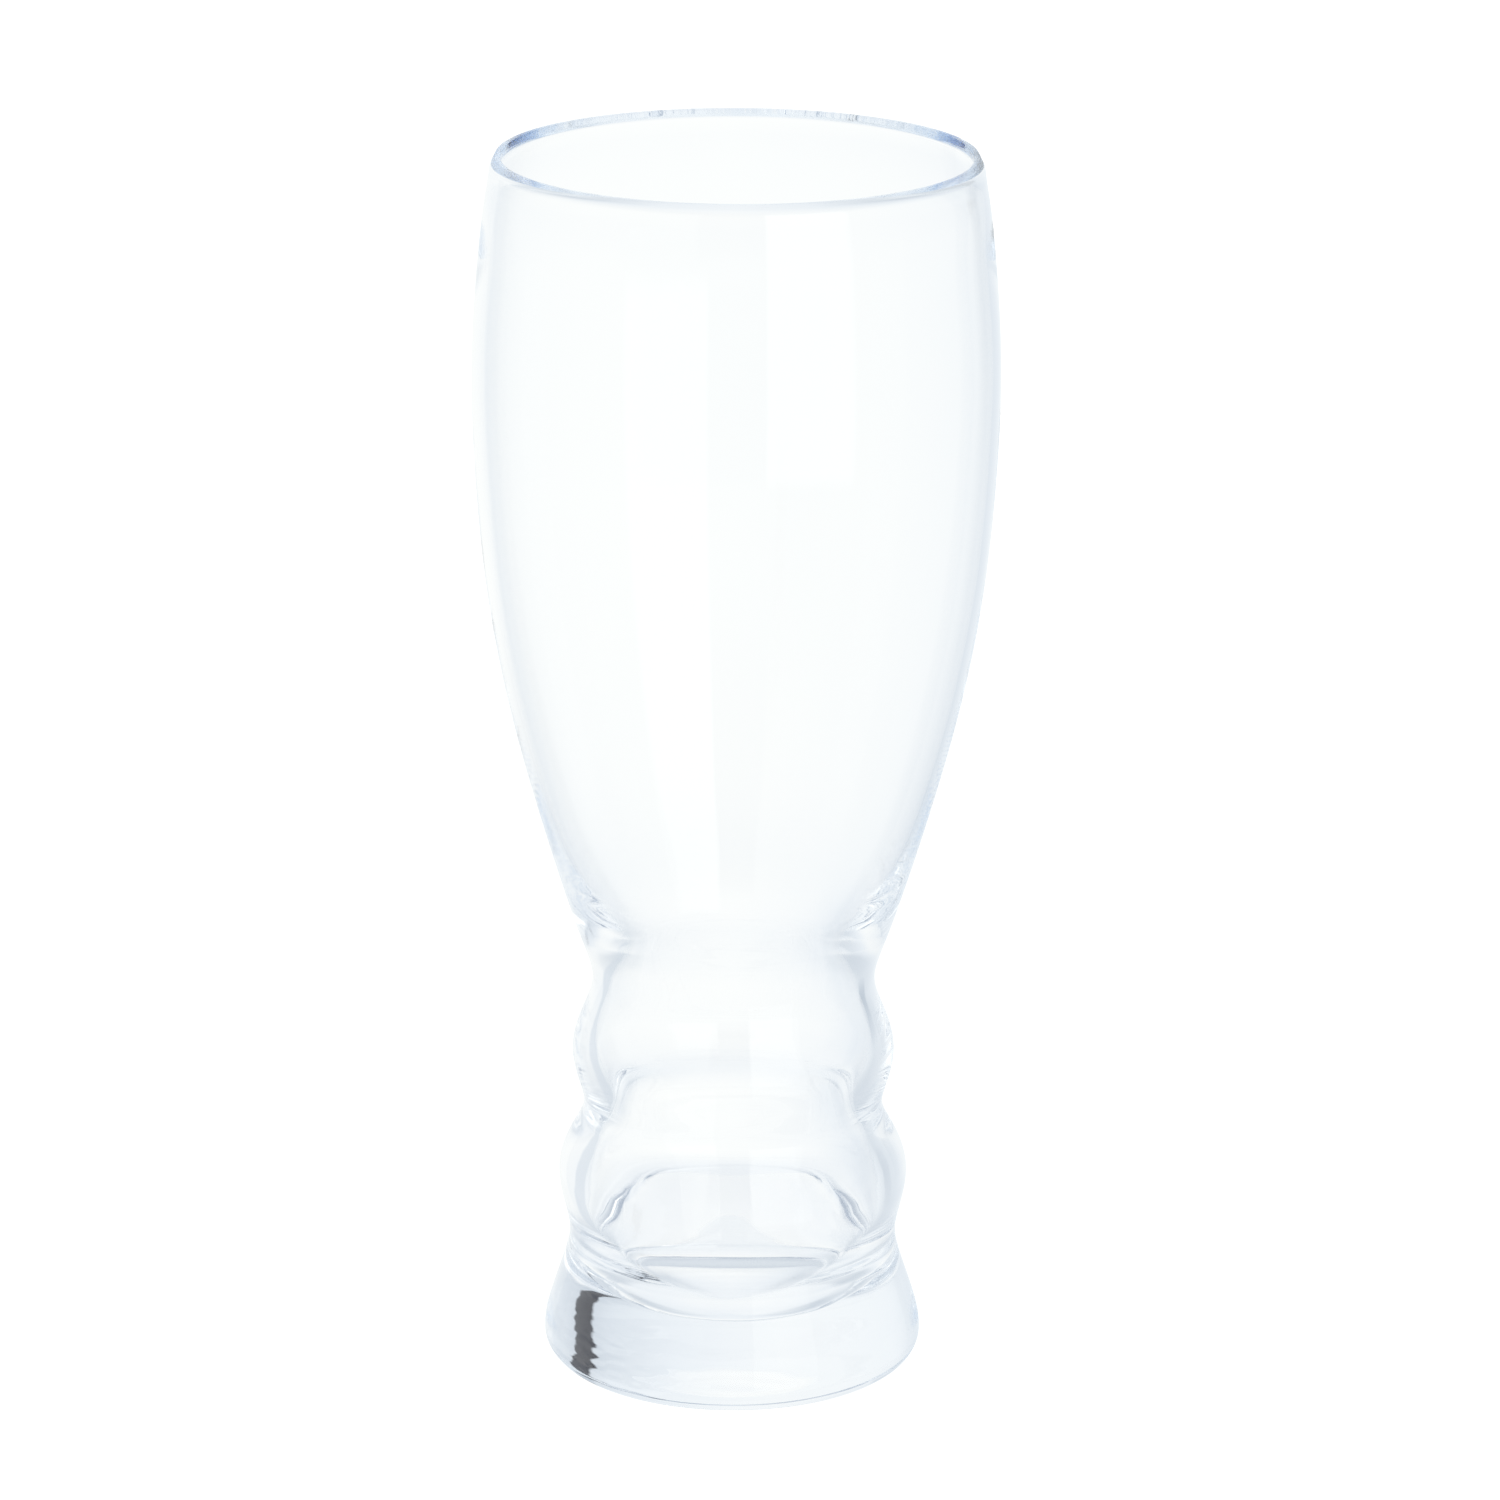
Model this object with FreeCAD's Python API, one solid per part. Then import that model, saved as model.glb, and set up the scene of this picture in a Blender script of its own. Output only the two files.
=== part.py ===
import FreeCAD, Part
import os

# A tall footed beer glass, blown as one piece of clear glass.
# Millimetres. +Z runs up the axis. The origin is the centre of the circle that the foot stands on.
# Outline stations are pairs: distance from the axis, then height above the surface it stands on.

HEIGHT = 195.0

# Foot: a solid, heavy, slightly flared base with a rounded heel and a shallow dished underside.
FOOT_RADIUS = 30.1
HEEL_ROUND = 4.0
DISH_RADIUS = 24.0
DISH_DEPTH = 0.8

# Body: two soft rings above the foot, a waist, then a tall belly that closes a little to the mouth.
NECK = (26.05, 20.8)
LOWER_RING = (27.7, 31.4)
GROOVE = (23.75, 42.1)
UPPER_RING = (25.5, 51.5)
WAIST = (22.35, 62.8)
BELLY = (40.75, 161.0)
MOUTH_RADIUS = 37.75

# Wall: thin at the belly, a little thicker at the rim, and thick in the rings.
RIM_WALL = 1.7
RIM_ROUND = 0.4
BELLY_WALL = 1.25
WAIST_WALL = 3.3
UPPER_RING_WALL = 3.4
GROOVE_WALL = 3.7
LOWER_RING_WALL = 4.6

# Bottom of the inside: an almost flat floor with a wide rounded corner, sunk into the foot.
FLOOR_HEIGHT = 8.5
FLOOR_CORNER = (16.0, 11.2)
FLOOR_EDGE = (20.5, 19.0)


def vec(station):
    """A point of the half section, which lies in the XZ plane."""
    return FreeCAD.Vector(station[0], 0, station[1])


def inward(station, wall):
    """The point of the inside wall level with a station of the outside."""
    return (station[0] - wall, station[1])


def smooth(stations, first_direction, last_direction):
    """One smooth curve through the stations, leaving and arriving in the given directions."""
    curve = Part.BSplineCurve()
    curve.interpolate(
        Points=[vec(s) for s in stations],
        InitialTangent=vec(first_direction),
        FinalTangent=vec(last_direction),
        Scale=False,
    )
    return curve.toShape()


def arc(start, middle, end):
    return Part.Arc(vec(start), vec(middle), vec(end)).toShape()


def line(start, end):
    return Part.LineSegment(vec(start), vec(end)).toShape()


UP = (0, 1)
DOWN = (0, -1)
INWARD = (-1, 0)


def outside():
    """From the top of the heel, up over the rings and the belly, to the rim."""
    stations = [
        (FOOT_RADIUS, HEEL_ROUND),
        (29.1, 9.3),
        (27.2, 15.1),
        NECK,
        (26.9, 25.7),
        LOWER_RING,
        (26.2, 36.4),
        GROOVE,
        (24.6, 46.3),
        UPPER_RING,
        (24.3, 56.5),
        WAIST,
        (23.9, 69.2),
        (26.9, 78.1),
        (31.0, 91.7),
        (35.0, 107.0),
        (38.5, 126.0),
        (40.4, 147.0),
        BELLY,
        (39.65, 179.5),
        (38.4, 189.4),
        (MOUTH_RADIUS, HEIGHT - RIM_ROUND),
    ]
    return smooth(stations, UP, UP)


def inside():
    """From the rim, down the belly and past the rings, to the middle of the floor."""
    stations = [
        (MOUTH_RADIUS - RIM_WALL, HEIGHT - RIM_ROUND),
        (37.1, 189.4),
        (38.4, 179.5),
        inward(BELLY, BELLY_WALL),
        (39.15, 147.0),
        (37.2, 126.0),
        (33.6, 107.0),
        (29.35, 91.7),
        (24.1, 78.1),
        inward(WAIST, WAIST_WALL),
        inward(UPPER_RING, UPPER_RING_WALL),
        inward(GROOVE, GROOVE_WALL),
        inward(LOWER_RING, LOWER_RING_WALL),
        FLOOR_EDGE,
        FLOOR_CORNER,
        (9.0, 9.0),
        (0, FLOOR_HEIGHT),
    ]
    return smooth(stations, DOWN, INWARD)


def corner(wall_radius, towards_middle):
    """A small rounded corner between a wall and the top, from the wall inwards over it."""
    low = (wall_radius, HEIGHT - RIM_ROUND)
    middle = (
        wall_radius + towards_middle * (RIM_ROUND - RIM_ROUND * 0.5**0.5),
        HEIGHT - RIM_ROUND + RIM_ROUND * 0.5**0.5,
    )
    high = (wall_radius + towards_middle * RIM_ROUND, HEIGHT)
    return arc(low, middle, high)


def rim():
    """The cut and fire-polished edge: a level top between two rounded corners."""
    inner_radius = MOUTH_RADIUS - RIM_WALL
    level = line((MOUTH_RADIUS - RIM_ROUND, HEIGHT), (inner_radius + RIM_ROUND, HEIGHT))
    return [corner(MOUTH_RADIUS, -1), level, corner(inner_radius, 1)]


def underside():
    """The dish under the foot, the flat ring that it stands on, and the rounded heel."""
    ring_outer = FOOT_RADIUS - HEEL_ROUND
    # The dish is part of a sphere, so its middle point lies on one circle with both its edges.
    dish_middle = (0, DISH_DEPTH)
    sphere = (DISH_RADIUS**2 + DISH_DEPTH**2) / (2 * DISH_DEPTH)
    half_way = DISH_RADIUS / 2
    drop = sphere - (sphere**2 - half_way**2) ** 0.5
    heel_middle = (
        ring_outer + HEEL_ROUND * 0.5**0.5,
        HEEL_ROUND - HEEL_ROUND * 0.5**0.5,
    )
    return [
        arc(dish_middle, (half_way, DISH_DEPTH - drop), (DISH_RADIUS, 0)),
        line((DISH_RADIUS, 0), (ring_outer, 0)),
        arc((ring_outer, 0), heel_middle, (FOOT_RADIUS, HEEL_ROUND)),
    ]


def glass_body():
    """The whole glass: its half section turned once about the axis."""
    axis = line((0, FLOOR_HEIGHT), (0, DISH_DEPTH))
    section = Part.Wire(underside() + [outside()] + rim() + [inside(), axis])
    face = Part.Face(section)
    return face.revolve(FreeCAD.Vector(0, 0, 0), FreeCAD.Vector(0, 0, 1), 360)


os.makedirs("parts", exist_ok=True)
glass = glass_body()
if glass.ShapeType != "Solid":
    glass = Part.Solid(glass.Shells[0])
print("volume of glass, cm3:", round(glass.Volume / 1000, 1))
glass.exportStep("parts/glass_body.step")
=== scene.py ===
"""A tall footed beer glass in clear glass, on a plain white sweep under soft studio light."""

import math

import bpy
import numpy as np
from mathutils import Matrix, Vector


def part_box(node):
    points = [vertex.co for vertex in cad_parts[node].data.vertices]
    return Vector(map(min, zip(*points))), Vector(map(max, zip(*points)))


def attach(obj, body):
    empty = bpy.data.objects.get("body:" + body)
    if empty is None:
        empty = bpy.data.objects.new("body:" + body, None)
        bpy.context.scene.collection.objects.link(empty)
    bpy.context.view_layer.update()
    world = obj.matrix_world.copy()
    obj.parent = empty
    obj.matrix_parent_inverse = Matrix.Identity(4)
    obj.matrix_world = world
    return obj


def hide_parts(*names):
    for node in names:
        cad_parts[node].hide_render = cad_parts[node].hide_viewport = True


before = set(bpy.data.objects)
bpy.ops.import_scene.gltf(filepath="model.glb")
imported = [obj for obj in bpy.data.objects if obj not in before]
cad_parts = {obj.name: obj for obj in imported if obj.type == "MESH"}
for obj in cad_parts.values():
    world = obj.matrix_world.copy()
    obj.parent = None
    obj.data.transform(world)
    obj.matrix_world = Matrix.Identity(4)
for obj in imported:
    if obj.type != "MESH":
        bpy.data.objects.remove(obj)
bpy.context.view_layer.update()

MM = 0.001
SEAM = 1e-6  # how far a point of the CAD mesh may stand off its half section
AROUND = 224  # columns of faces round the glass
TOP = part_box("glass_body")[1][2]
EDGE_ROUND = 0.4 * MM  # radius of the two corners of the rim
WAIST_TOP = 84 * MM  # above this height the belly is plain
FOOT_TOP = 20 * MM
FOOT_WALL_RADIUS = 25 * MM  # the outside of the foot is farther out than this
UNDERSIDE = 1 * MM  # the dish and the resting ring are below this height
DISH_RADIUS = 23 * MM  # the shallow dish of the underside, short of its edge
BOUNCES = 1024  # enough for the light that runs along inside the wall and the rim
WHITE = 1.15  # brightness of the sweep and of the background behind the glass


# ---------------------------------------------------------------- outline


def lengths(rows):
    """The steps between the rows, and each row's distance along the section."""
    steps = np.hypot(*np.diff(rows, axis=0).T)
    return steps, np.concatenate([[0.0], np.cumsum(steps)])


def half_section(node):
    """The CAD node's half section, as (radius, height) rows in metres.

    It runs from the middle of the underside, out and up the outside, over the rim
    and down the inside to the middle of the floor.
    """
    mesh = node.data
    points = np.zeros(len(mesh.vertices) * 3)
    mesh.vertices.foreach_get("co", points)
    points = points.reshape(-1, 3)
    on_seam = (np.abs(points[:, 1]) < SEAM) & (points[:, 0] > -0.1 * SEAM)
    key = {}
    place = {}
    for i in np.nonzero(on_seam)[0]:
        name = (round(points[i, 0] * 1e6), round(points[i, 2] * 1e6))
        key[i] = name
        place[name] = (max(points[i, 0], 0.0), points[i, 2])
    beside = {name: set() for name in place}
    for edge in mesh.edges:
        a, b = edge.vertices
        if a in key and b in key and key[a] != key[b]:
            beside[key[a]].add(key[b])
            beside[key[b]].add(key[a])
    here = min((n for n in place if n[0] < 2), key=lambda n: n[1])
    row = [here]
    while True:
        onward = [n for n in beside[row[-1]] if n not in row]
        if not onward:
            break
        row.append(onward[0])
    return np.array([place[n] for n in row])


def smooth_through(rows, at):
    """A cubic with continuous curvature through the rows, read at distances along it."""
    steps, t = lengths(rows)
    n = len(rows)
    system = np.zeros((n, n))
    right = np.zeros((n, 2))
    system[0, 0] = system[-1, -1] = 1.0
    for i in range(1, n - 1):
        system[i, i - 1] = steps[i - 1]
        system[i, i] = 2 * (steps[i - 1] + steps[i])
        system[i, i + 1] = steps[i]
        rise = (rows[i + 1] - rows[i]) / steps[i] - (rows[i] - rows[i - 1]) / steps[i - 1]
        right[i] = 6 * rise
    bend = np.linalg.solve(system, right)
    k = np.clip(np.searchsorted(t, at, side="right") - 1, 0, n - 2)
    h = steps[k][:, None]
    before = (t[k + 1] - at)[:, None]
    after = (at - t[k])[:, None]
    return (
        bend[k] * before**3 / (6 * h)
        + bend[k + 1] * after**3 / (6 * h)
        + (rows[k] / h - bend[k] * h / 6) * before
        + (rows[k + 1] / h - bend[k + 1] * h / 6) * after
    )


def ring_places(rows):
    """Distances along the section for the rings of vertices: close on the foot and the
    rings, wider apart on the plain belly."""
    t = lengths(rows)[1]
    places = [0.0]
    while places[-1] < t[-1]:
        z = np.interp(places[-1], t, rows[:, 1])
        radius = np.interp(places[-1], t, rows[:, 0])
        if z > TOP - EDGE_ROUND:
            gap = 0.12 * MM
        elif z > TOP - 1.5 * MM:
            gap = 0.3 * MM
        elif z > WAIST_TOP:
            gap = 2.4 * MM
        elif z < UNDERSIDE:
            gap = 1.6 * MM if radius < DISH_RADIUS else 0.5 * MM
        elif z < FOOT_TOP and radius > FOOT_WALL_RADIUS:
            gap = 0.45 * MM
        else:
            gap = 0.74 * MM
        places.append(places[-1] + gap)
    places[-1] = t[-1]
    return np.array(places)


def with_exact_rim(rows):
    """The rows with the rim's two corners and level top drawn true, because the CAD mesh
    has only a few points there."""
    wall_top = TOP - EDGE_ROUND
    below = rows[:, 1] < wall_top - 0.05 * MM
    high = np.argmax(rows[:, 1])
    outside = rows[:high][below[:high]]
    inside = rows[high:][below[high:]]
    outer = rows[rows[:, 1] > wall_top - 0.2 * MM, 0].max()
    inner = rows[rows[:, 1] > wall_top - 0.2 * MM, 0].min()
    turn = np.linspace(0, math.pi / 2, 7)
    corner = EDGE_ROUND * np.stack([1 - np.cos(turn), np.sin(turn)], 1)
    first = np.array([outer, wall_top]) + corner * [-1, 1]
    last = (np.array([inner, wall_top]) + corner)[::-1]
    level = np.linspace(first[-1], last[0], 6)[1:-1]
    return np.vstack([outside, first, level, last, inside])


# ---------------------------------------------------------------- ripples

random = np.random.RandomState(7)


def ripple_set(count, turns, waves):
    """Random cosine ripples: (times round the glass, waves per metre of height, phases)."""
    return [
        (
            random.randint(turns[0], turns[1] + 1),
            random.uniform(*waves),
            random.uniform(0, 2 * math.pi),
            random.uniform(0, 2 * math.pi),
        )
        for _ in range(count)
    ]


def ripples(which, angle, height):
    """The sum of a set of ripples, scaled so that its usual size is about one half."""
    total = np.zeros_like(angle * height)
    for turns, waves, phase, phase_up in which:
        total += np.cos(turns * angle + phase) * np.cos(2 * math.pi * waves * height + phase_up)
    return total / math.sqrt(len(which))


FOOT_RIPPLES = ripple_set(26, (2, 11), (220, 640))
BODY_RIPPLES = ripple_set(18, (2, 7), (12, 60))
RIM_RIPPLES = ripple_set(14, (6, 22), (30, 160))
# Fine tool marks on the outside of the foot, on one side only.
TOOL_MARKS = ripple_set(20, (8, 30), (380, 700))
MARKS_CENTRE = math.radians(225)
MARKS_HALF_WIDTH = math.radians(36)
MARKS_MIN_RADIUS = 25.5 * MM  # they are on the outside of the foot
MARKS_TOP = 21 * MM
# How each lift changes with height: (low height, high height, value below, value above).
FOOT_LIFT = (0.016, 0.050, 6e-6, 2.5e-6)
FOOT_FADE = (0.07, 0.1, 1.0, 0.0)
BODY_LIFT = (0.05, 0.09, 6e-6, 2e-6)
RIM_LIFT = (0.187, 0.1935, 0.0, 8e-6)
MARKS_LIFT = (0.0125, 0.0165, 4e-5, 0.0)
RESTING_FADE = (0.0, 0.004, 0.0, 1.0)


def strength(height, low, high, at_low, at_high):
    """One value below the low height and another above the high one, eased between."""
    part = np.clip((height - low) / (high - low), 0, 1)
    part = part * part * (3 - 2 * part)
    return at_low + (at_high - at_low) * part


# ---------------------------------------------------------------- body of the glass


def grid_normals(grid, t):
    """The exact outward normals of the rippled surface, which refraction needs, and those
    of its two end points on the axis."""
    up = np.gradient(grid, t, axis=0)
    wrapped = np.concatenate([grid[:, -1:], grid, grid[:, :1]], axis=1)
    round_axis = wrapped[:, 2:] - wrapped[:, :-2]
    normals = np.cross(round_axis, up).reshape(-1, 3)
    normals /= np.linalg.norm(normals, axis=1)[:, None]
    ends = np.array([[0.0, 0.0, -1.0], [0.0, 0.0, 1.0]])
    return np.vstack([normals, ends]).tolist()


def turned_glass(name, rows):
    """The closed body: the section turned about the axis, with the faint waviness of
    hand-worked glass pressed into both of its surfaces."""
    t = lengths(rows)[1]
    along = np.gradient(rows, t, axis=0)[1:-1]
    along /= np.hypot(*along.T)[:, None]
    facing = np.stack([along[:, 1], -along[:, 0]], 1)
    rings = rows[1:-1]
    angle = np.arange(AROUND) * 2 * math.pi / AROUND
    z = rings[:, 1][:, None]
    turn = angle[None, :]
    lift = ripples(FOOT_RIPPLES, turn, z) * strength(z, *FOOT_LIFT)
    lift *= strength(z, *FOOT_FADE)
    lift += ripples(BODY_RIPPLES, turn, z) * strength(z, *BODY_LIFT)
    lift += ripples(RIM_RIPPLES, turn, z) * strength(z, *RIM_LIFT)
    on_foot = (rings[:, 0][:, None] > MARKS_MIN_RADIUS) & (z < MARKS_TOP)
    marked = np.clip(1 - np.abs(turn - MARKS_CENTRE) / MARKS_HALF_WIDTH, 0, 1)
    lift += ripples(TOOL_MARKS, turn, z) * marked * on_foot * strength(z, *MARKS_LIFT)
    lift *= strength(z, *RESTING_FADE)
    r = rings[:, 0][:, None] + lift * facing[:, 0][:, None]
    h = z + lift * facing[:, 1][:, None]
    grid = np.stack([r * np.cos(angle), r * np.sin(angle), h], 2)
    circle = grid.reshape(-1, 3)
    ends = np.array([[0, 0, rows[0, 1]], [0, 0, rows[-1, 1]]])
    points = np.vstack([circle, ends])
    count = len(rings)
    column = np.arange(AROUND)
    beside = (column + 1) % AROUND
    faces = []
    for i in range(count - 1):
        low = i * AROUND
        high = low + AROUND
        faces += list(zip(low + column, low + beside, high + beside, high + column))
    first = count * AROUND
    faces += [(first, b, a) for a, b in zip(column, beside)]
    top = (count - 1) * AROUND
    faces += [(top + a, top + b, first + 1) for a, b in zip(column, beside)]
    mesh = bpy.data.meshes.new(name)
    mesh.from_pydata([tuple(p) for p in points], [], [tuple(int(i) for i in f) for f in faces])
    mesh.polygons.foreach_set("use_smooth", [True] * len(mesh.polygons))
    mesh.update()
    mesh.normals_split_custom_set_from_vertices(grid_normals(grid, t[1:-1]))
    piece = bpy.data.objects.new(name, mesh)
    bpy.context.scene.collection.objects.link(piece)
    return piece


# ---------------------------------------------------------------- material


def glass_material():
    """Clear glass with a slight blue body colour and faint cords."""
    material = bpy.data.materials.new("blown_glass")
    material.use_nodes = True
    nodes = material.node_tree.nodes
    links = material.node_tree.links
    shader = nodes["Principled BSDF"]
    shader.inputs["Base Color"].default_value = (1, 1, 1, 1)
    shader.inputs["Roughness"].default_value = 0.0
    shader.inputs["IOR"].default_value = 1.52
    shader.inputs["Transmission Weight"].default_value = 1.0
    tint = nodes.new("ShaderNodeVolumeAbsorption")
    tint.inputs["Color"].default_value = (0.08, 0.46, 0.86, 1)
    tint.inputs["Density"].default_value = 0.36
    links.new(tint.outputs[0], nodes["Material Output"].inputs["Volume"])
    # Faint upright cords in the glass, a few millimetres apart.
    place = nodes.new("ShaderNodeTexCoord")
    stretch = nodes.new("ShaderNodeMapping")
    stretch.inputs["Scale"].default_value = (1, 1, 0.12)
    cords = nodes.new("ShaderNodeTexNoise")
    cords.inputs["Scale"].default_value = 160
    cords.inputs["Detail"].default_value = 1.0
    bump = nodes.new("ShaderNodeBump")
    bump.inputs["Strength"].default_value = 0.25
    bump.inputs["Distance"].default_value = 0.03 * MM
    links.new(place.outputs["Object"], stretch.inputs["Vector"])
    links.new(stretch.outputs[0], cords.inputs["Vector"])
    links.new(cords.outputs["Fac"], bump.inputs["Height"])
    links.new(bump.outputs[0], shader.inputs["Normal"])
    return material


# ---------------------------------------------------------------- studio

# Light by direction, in degrees: 0 is towards the camera, positive to its left, 180 straight
# behind the glass. Each band is a height above the horizon, then (direction, brightness).
SLIT = 0.02  # the one dark gap, between the backdrop and the right wall
BOX = 1.27  # the softbox to the right of the camera
BANDS = [
    (-75, [(-180, 0.90), (-100, 0.95), (0, 0.94), (100, 0.92), (180, 0.90)]),
    (-42, [
        (-180, 0.94), (-168, 0.88), (-155, 0.68), (-125, 0.68), (-112, 0.88), (-75, 0.94),
        (-30, 0.98), (45, 0.97), (75, 0.93), (112, 0.89), (125, 0.70), (155, 0.70),
        (168, 0.90), (180, 0.94),
    ]),
    (-18.5, [
        (-180, 1.005), (-174, 0.97), (-167, 0.90), (-158, 0.84), (-148, 0.79), (-136, 0.76),
        (-124, 0.90), (-112, 0.95), (-75, 0.99), (-14, 0.98), (45, 1.02), (75, 1.00),
        (100, 0.96), (126, 0.95), (128, 0.80), (141, 0.80), (143, 0.97), (160, 1.0), (180, 1.005),
    ]),
    (-17, [
        (-180, 1.005), (-174, 0.97), (-167, 0.90), (-158, 0.84), (-148, 0.79), (-136, 0.76),
        (-124, 0.90), (-112, 0.95), (-53, 1.00), (-52, BOX), (-14, BOX), (-13, 0.92),
        (40, 0.93), (46, 1.0), (75, 0.99), (100, 0.95), (126, 0.94), (128, 0.80), (141, 0.80),
        (143, 0.97), (160, 1.0), (180, 1.005),
    ]),
    (3, [
        (-180, 0.97), (-168, 0.89), (-155, 0.84), (-144, 0.76), (-142.3, 0.55), (-133.6, 0.55),
        (-132.6, 0.78), (-126, 0.86), (-95, 0.94), (-53, 0.98), (-52, BOX), (-14, BOX),
        (-13, 0.92), (40, 0.92), (46, 0.95), (75, 0.96), (100, 0.90),
        (126, 0.90), (128, 0.78), (141, 0.78), (143, 0.93), (180, 0.97),
    ]),
    (8, [
        (-180, 0.96), (-164, 0.92), (-150, 0.86), (-144, 0.75), (-143.1, 0.72), (-142.3, SLIT),
        (-133.6, SLIT), (-132.6, 0.72), (-120, 0.80), (-95, 0.86), (-53, 0.92), (-52, BOX),
        (-14, BOX), (-13, 0.88), (18, 0.88), (19, 0.95), (75, 0.88), (105, 0.84), (130, 0.94),
        (170, 0.97), (180, 0.96),
    ]),
    (35, [
        (-180, 0.94), (-168, 0.88), (-156, 0.76), (-144, 0.65), (-143.1, 0.64), (-142.3, SLIT),
        (-133.6, SLIT), (-132.6, 0.62), (-112, 0.72), (-95, 0.80), (-53, 0.83), (-52, BOX),
        (-14, BOX), (-13, 0.35), (18, 0.35), (19, 0.80), (75, 0.70), (100, 0.82), (130, 0.92),
        (170, 0.97), (180, 0.94),
    ]),
    (48, [
        (-180, 0.78), (-150, 0.70), (-120, 0.40), (-60, 0.42), (60, 0.42), (120, 0.40),
        (150, 0.70), (180, 0.78),
    ]),
    (62, [
        (-180, 0.66), (-150, 0.60), (-110, 0.42), (-50, 0.50), (50, 0.50), (110, 0.42),
        (150, 0.60), (180, 0.66),
    ]),
    (80, [(-180, 0.75), (0, 0.80), (180, 0.75)]),
]
HALVED = 2.0  # the ramps hold half of each colour, and the light doubles it again
# The studio's greys are a little blue: (brightness, red, green, blue).
GREYS = [
    (0.00, 0.00, 0.00, 0.00), (0.067, 0.052, 0.054, 0.094), (0.105, 0.077, 0.086, 0.152),
    (0.156, 0.115, 0.14, 0.212), (0.31, 0.238, 0.292, 0.409), (0.42, 0.34, 0.405, 0.506),
    (0.52, 0.449, 0.518, 0.602), (0.76, 0.702, 0.76, 0.818), (0.86, 0.806, 0.859, 0.912),
    (0.925, 0.887, 0.929, 0.960), (0.96, 0.933, 0.962, 0.976), (1.0, 0.984, 1.0, 0.992),
]


def studio_colour(brightness):
    """The colour of a brightness. Above one, the white of the last row is made brighter."""
    if brightness >= 1:
        return tuple(c * brightness for c in GREYS[-1][1:])
    levels = [g[0] for g in GREYS]
    return tuple(np.interp(brightness, levels, [g[i] for g in GREYS]) for i in (1, 2, 3))


def ramp(tree, source, stops):
    """A colour ramp over the compass. Its colours are halved, to stay below one."""
    node = tree.nodes.new("ShaderNodeValToRGB")
    colours = node.color_ramp
    while len(colours.elements) > 1:
        colours.elements.remove(colours.elements[0])
    for i, (bearing, brightness) in enumerate(stops):
        position = (bearing + 180) / 360
        element = colours.elements[0] if i == 0 else colours.elements.new(position)
        element.position = position
        element.color = (*[c / HALVED for c in studio_colour(brightness)], 1)
    tree.links.new(source, node.inputs[0])
    return node.outputs[0]


def calculate(tree, operation, *values):
    """A maths node fed with numbers or sockets, in order."""
    node = tree.nodes.new("ShaderNodeMath")
    node.operation = operation
    for i, value in enumerate(values):
        if isinstance(value, (int, float)):
            node.inputs[i].default_value = value
        else:
            tree.links.new(value, node.inputs[i])
    return node.outputs[0]


def studio():
    """The light of the bands, for everything but the camera, which sees plain white."""
    world = bpy.data.worlds.new("studio")
    bpy.context.scene.world = world
    world.use_nodes = True
    tree = world.node_tree
    tree.nodes.clear()
    place = tree.nodes.new("ShaderNodeTexCoord")
    split = tree.nodes.new("ShaderNodeSeparateXYZ")
    tree.links.new(place.outputs["Generated"], split.inputs[0])
    left = calculate(tree, "MULTIPLY", split.outputs[0], -1.0)
    front = calculate(tree, "MULTIPLY", split.outputs[1], -1.0)
    bearing = calculate(tree, "ARCTAN2", left, front)
    compass = calculate(tree, "MULTIPLY_ADD", bearing, 1 / (2 * math.pi), 0.5)
    rise = calculate(tree, "ARCSINE", split.outputs[2])
    colour = ramp(tree, compass, BANDS[0][1])
    for (low, _), (high, stops) in zip(BANDS, BANDS[1:]):
        mix = tree.nodes.new("ShaderNodeMix")
        mix.data_type = "RGBA"
        slope = math.degrees(1) / (high - low)
        share = calculate(tree, "MULTIPLY_ADD", rise, slope, -low / (high - low))
        tree.links.new(share, mix.inputs["Factor"])
        tree.links.new(colour, mix.inputs["A"])
        tree.links.new(ramp(tree, compass, stops), mix.inputs["B"])
        colour = mix.outputs["Result"]
    light = tree.nodes.new("ShaderNodeBackground")
    light.inputs["Strength"].default_value = HALVED
    tree.links.new(colour, light.inputs["Color"])
    white = tree.nodes.new("ShaderNodeBackground")
    white.inputs["Color"].default_value = (1, 1, 1, 1)
    white.inputs["Strength"].default_value = WHITE
    path = tree.nodes.new("ShaderNodeLightPath")
    choose = tree.nodes.new("ShaderNodeMixShader")
    tree.links.new(path.outputs["Is Camera Ray"], choose.inputs[0])
    tree.links.new(light.outputs[0], choose.inputs[1])
    tree.links.new(white.outputs[0], choose.inputs[2])
    out = tree.nodes.new("ShaderNodeOutputWorld")
    tree.links.new(choose.outputs[0], out.inputs[0])


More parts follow.
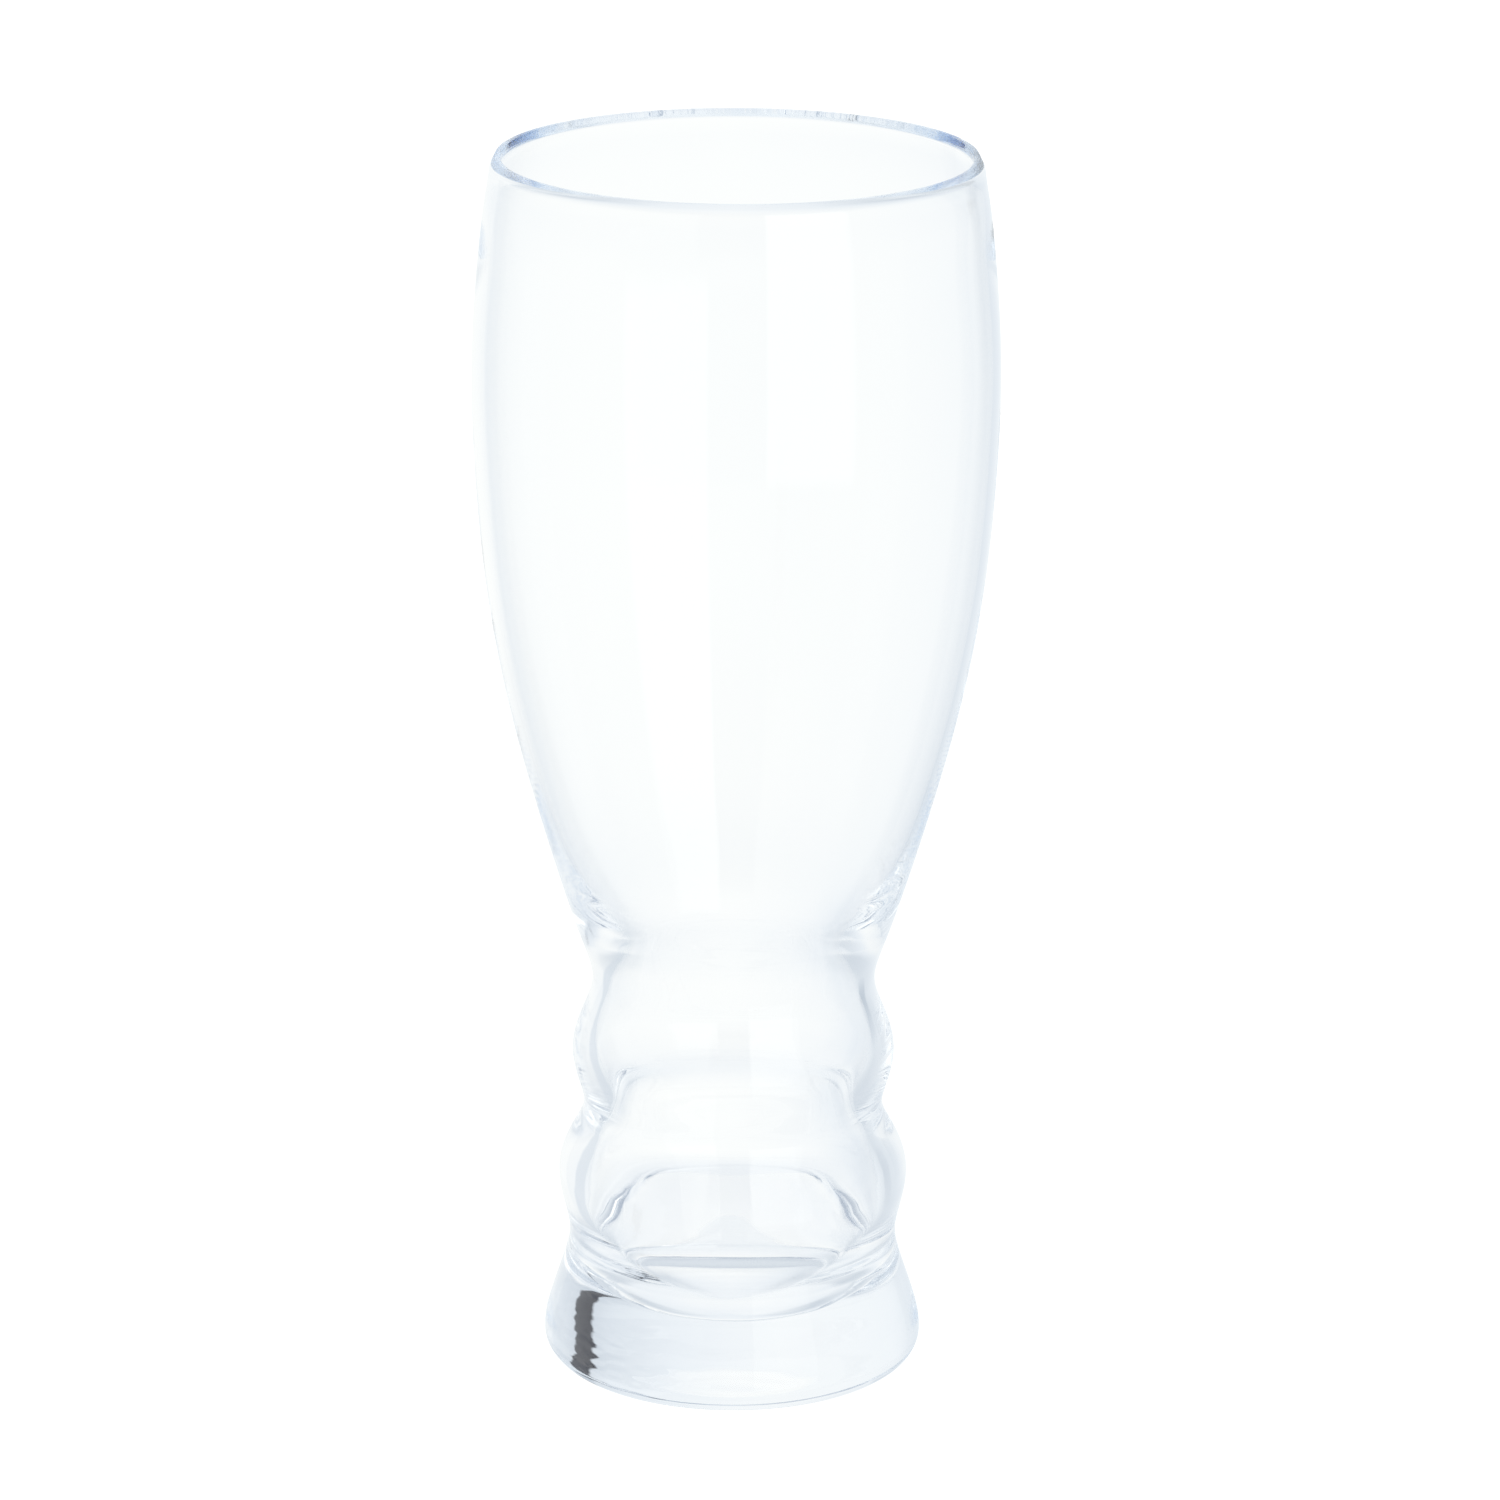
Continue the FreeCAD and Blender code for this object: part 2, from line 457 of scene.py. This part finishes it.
def white_floor():
    """The sweep that the glass stands on. It is lit to plain white."""
    mesh = bpy.data.meshes.new("floor")
    far = 3.0
    mesh.from_pydata(
        [(-far, -far, 0), (far, -far, 0), (far, far, 0), (-far, far, 0)], [], [(0, 1, 2, 3)]
    )
    floor = bpy.data.objects.new("floor", mesh)
    bpy.context.scene.collection.objects.link(floor)
    material = bpy.data.materials.new("white_sweep")
    material.use_nodes = True
    tree = material.node_tree
    tree.nodes.clear()
    glow = tree.nodes.new("ShaderNodeEmission")
    glow.inputs["Color"].default_value = (1, 1, 1, 1)
    glow.inputs["Strength"].default_value = WHITE
    out = tree.nodes.new("ShaderNodeOutputMaterial")
    tree.links.new(glow.outputs[0], out.inputs["Surface"])
    mesh.materials.append(material)
    floor.location.z = -0.2 * MM
    floor.visible_glossy = False
    floor.visible_transmission = False
    floor.visible_diffuse = False
    floor.visible_shadow = False


def camera():
    """A long lens, above the rim and looking down a little, turned very slightly."""
    data = bpy.data.cameras.new("camera")
    holder = bpy.data.objects.new("camera", data)
    bpy.context.scene.collection.objects.link(holder)
    data.sensor_width = 36
    data.lens = 153.08
    data.shift_x = 0.01025
    data.clip_start = 0.01
    data.clip_end = 100
    spot = Vector((0, -0.95607, 0.38897))
    aim = Vector((0, 0, 0.10027))
    turn = (aim - spot).to_track_quat("-Z", "Y").to_matrix().to_4x4()
    roll = Matrix.Rotation(0.0046, 4, "Z")
    holder.matrix_world = Matrix.Translation(spot) @ turn @ roll
    bpy.context.scene.camera = holder


# ---------------------------------------------------------------- scene

cad_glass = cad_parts["glass_body"]
stations = with_exact_rim(half_section(cad_glass))
section = smooth_through(stations, ring_places(stations))
section[:, 1] = np.maximum(section[:, 1], 0.0)
section[0, 0] = section[-1, 0] = 0.0

glass = turned_glass("glass", section)
glass.data.materials.append(glass_material())
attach(glass, "root")
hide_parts("glass_body")

studio()
white_floor()
camera()

settings = bpy.context.scene
settings.view_settings.view_transform = "Standard"
settings.cycles.max_bounces = BOUNCES
settings.cycles.transmission_bounces = BOUNCES
settings.cycles.glossy_bounces = BOUNCES
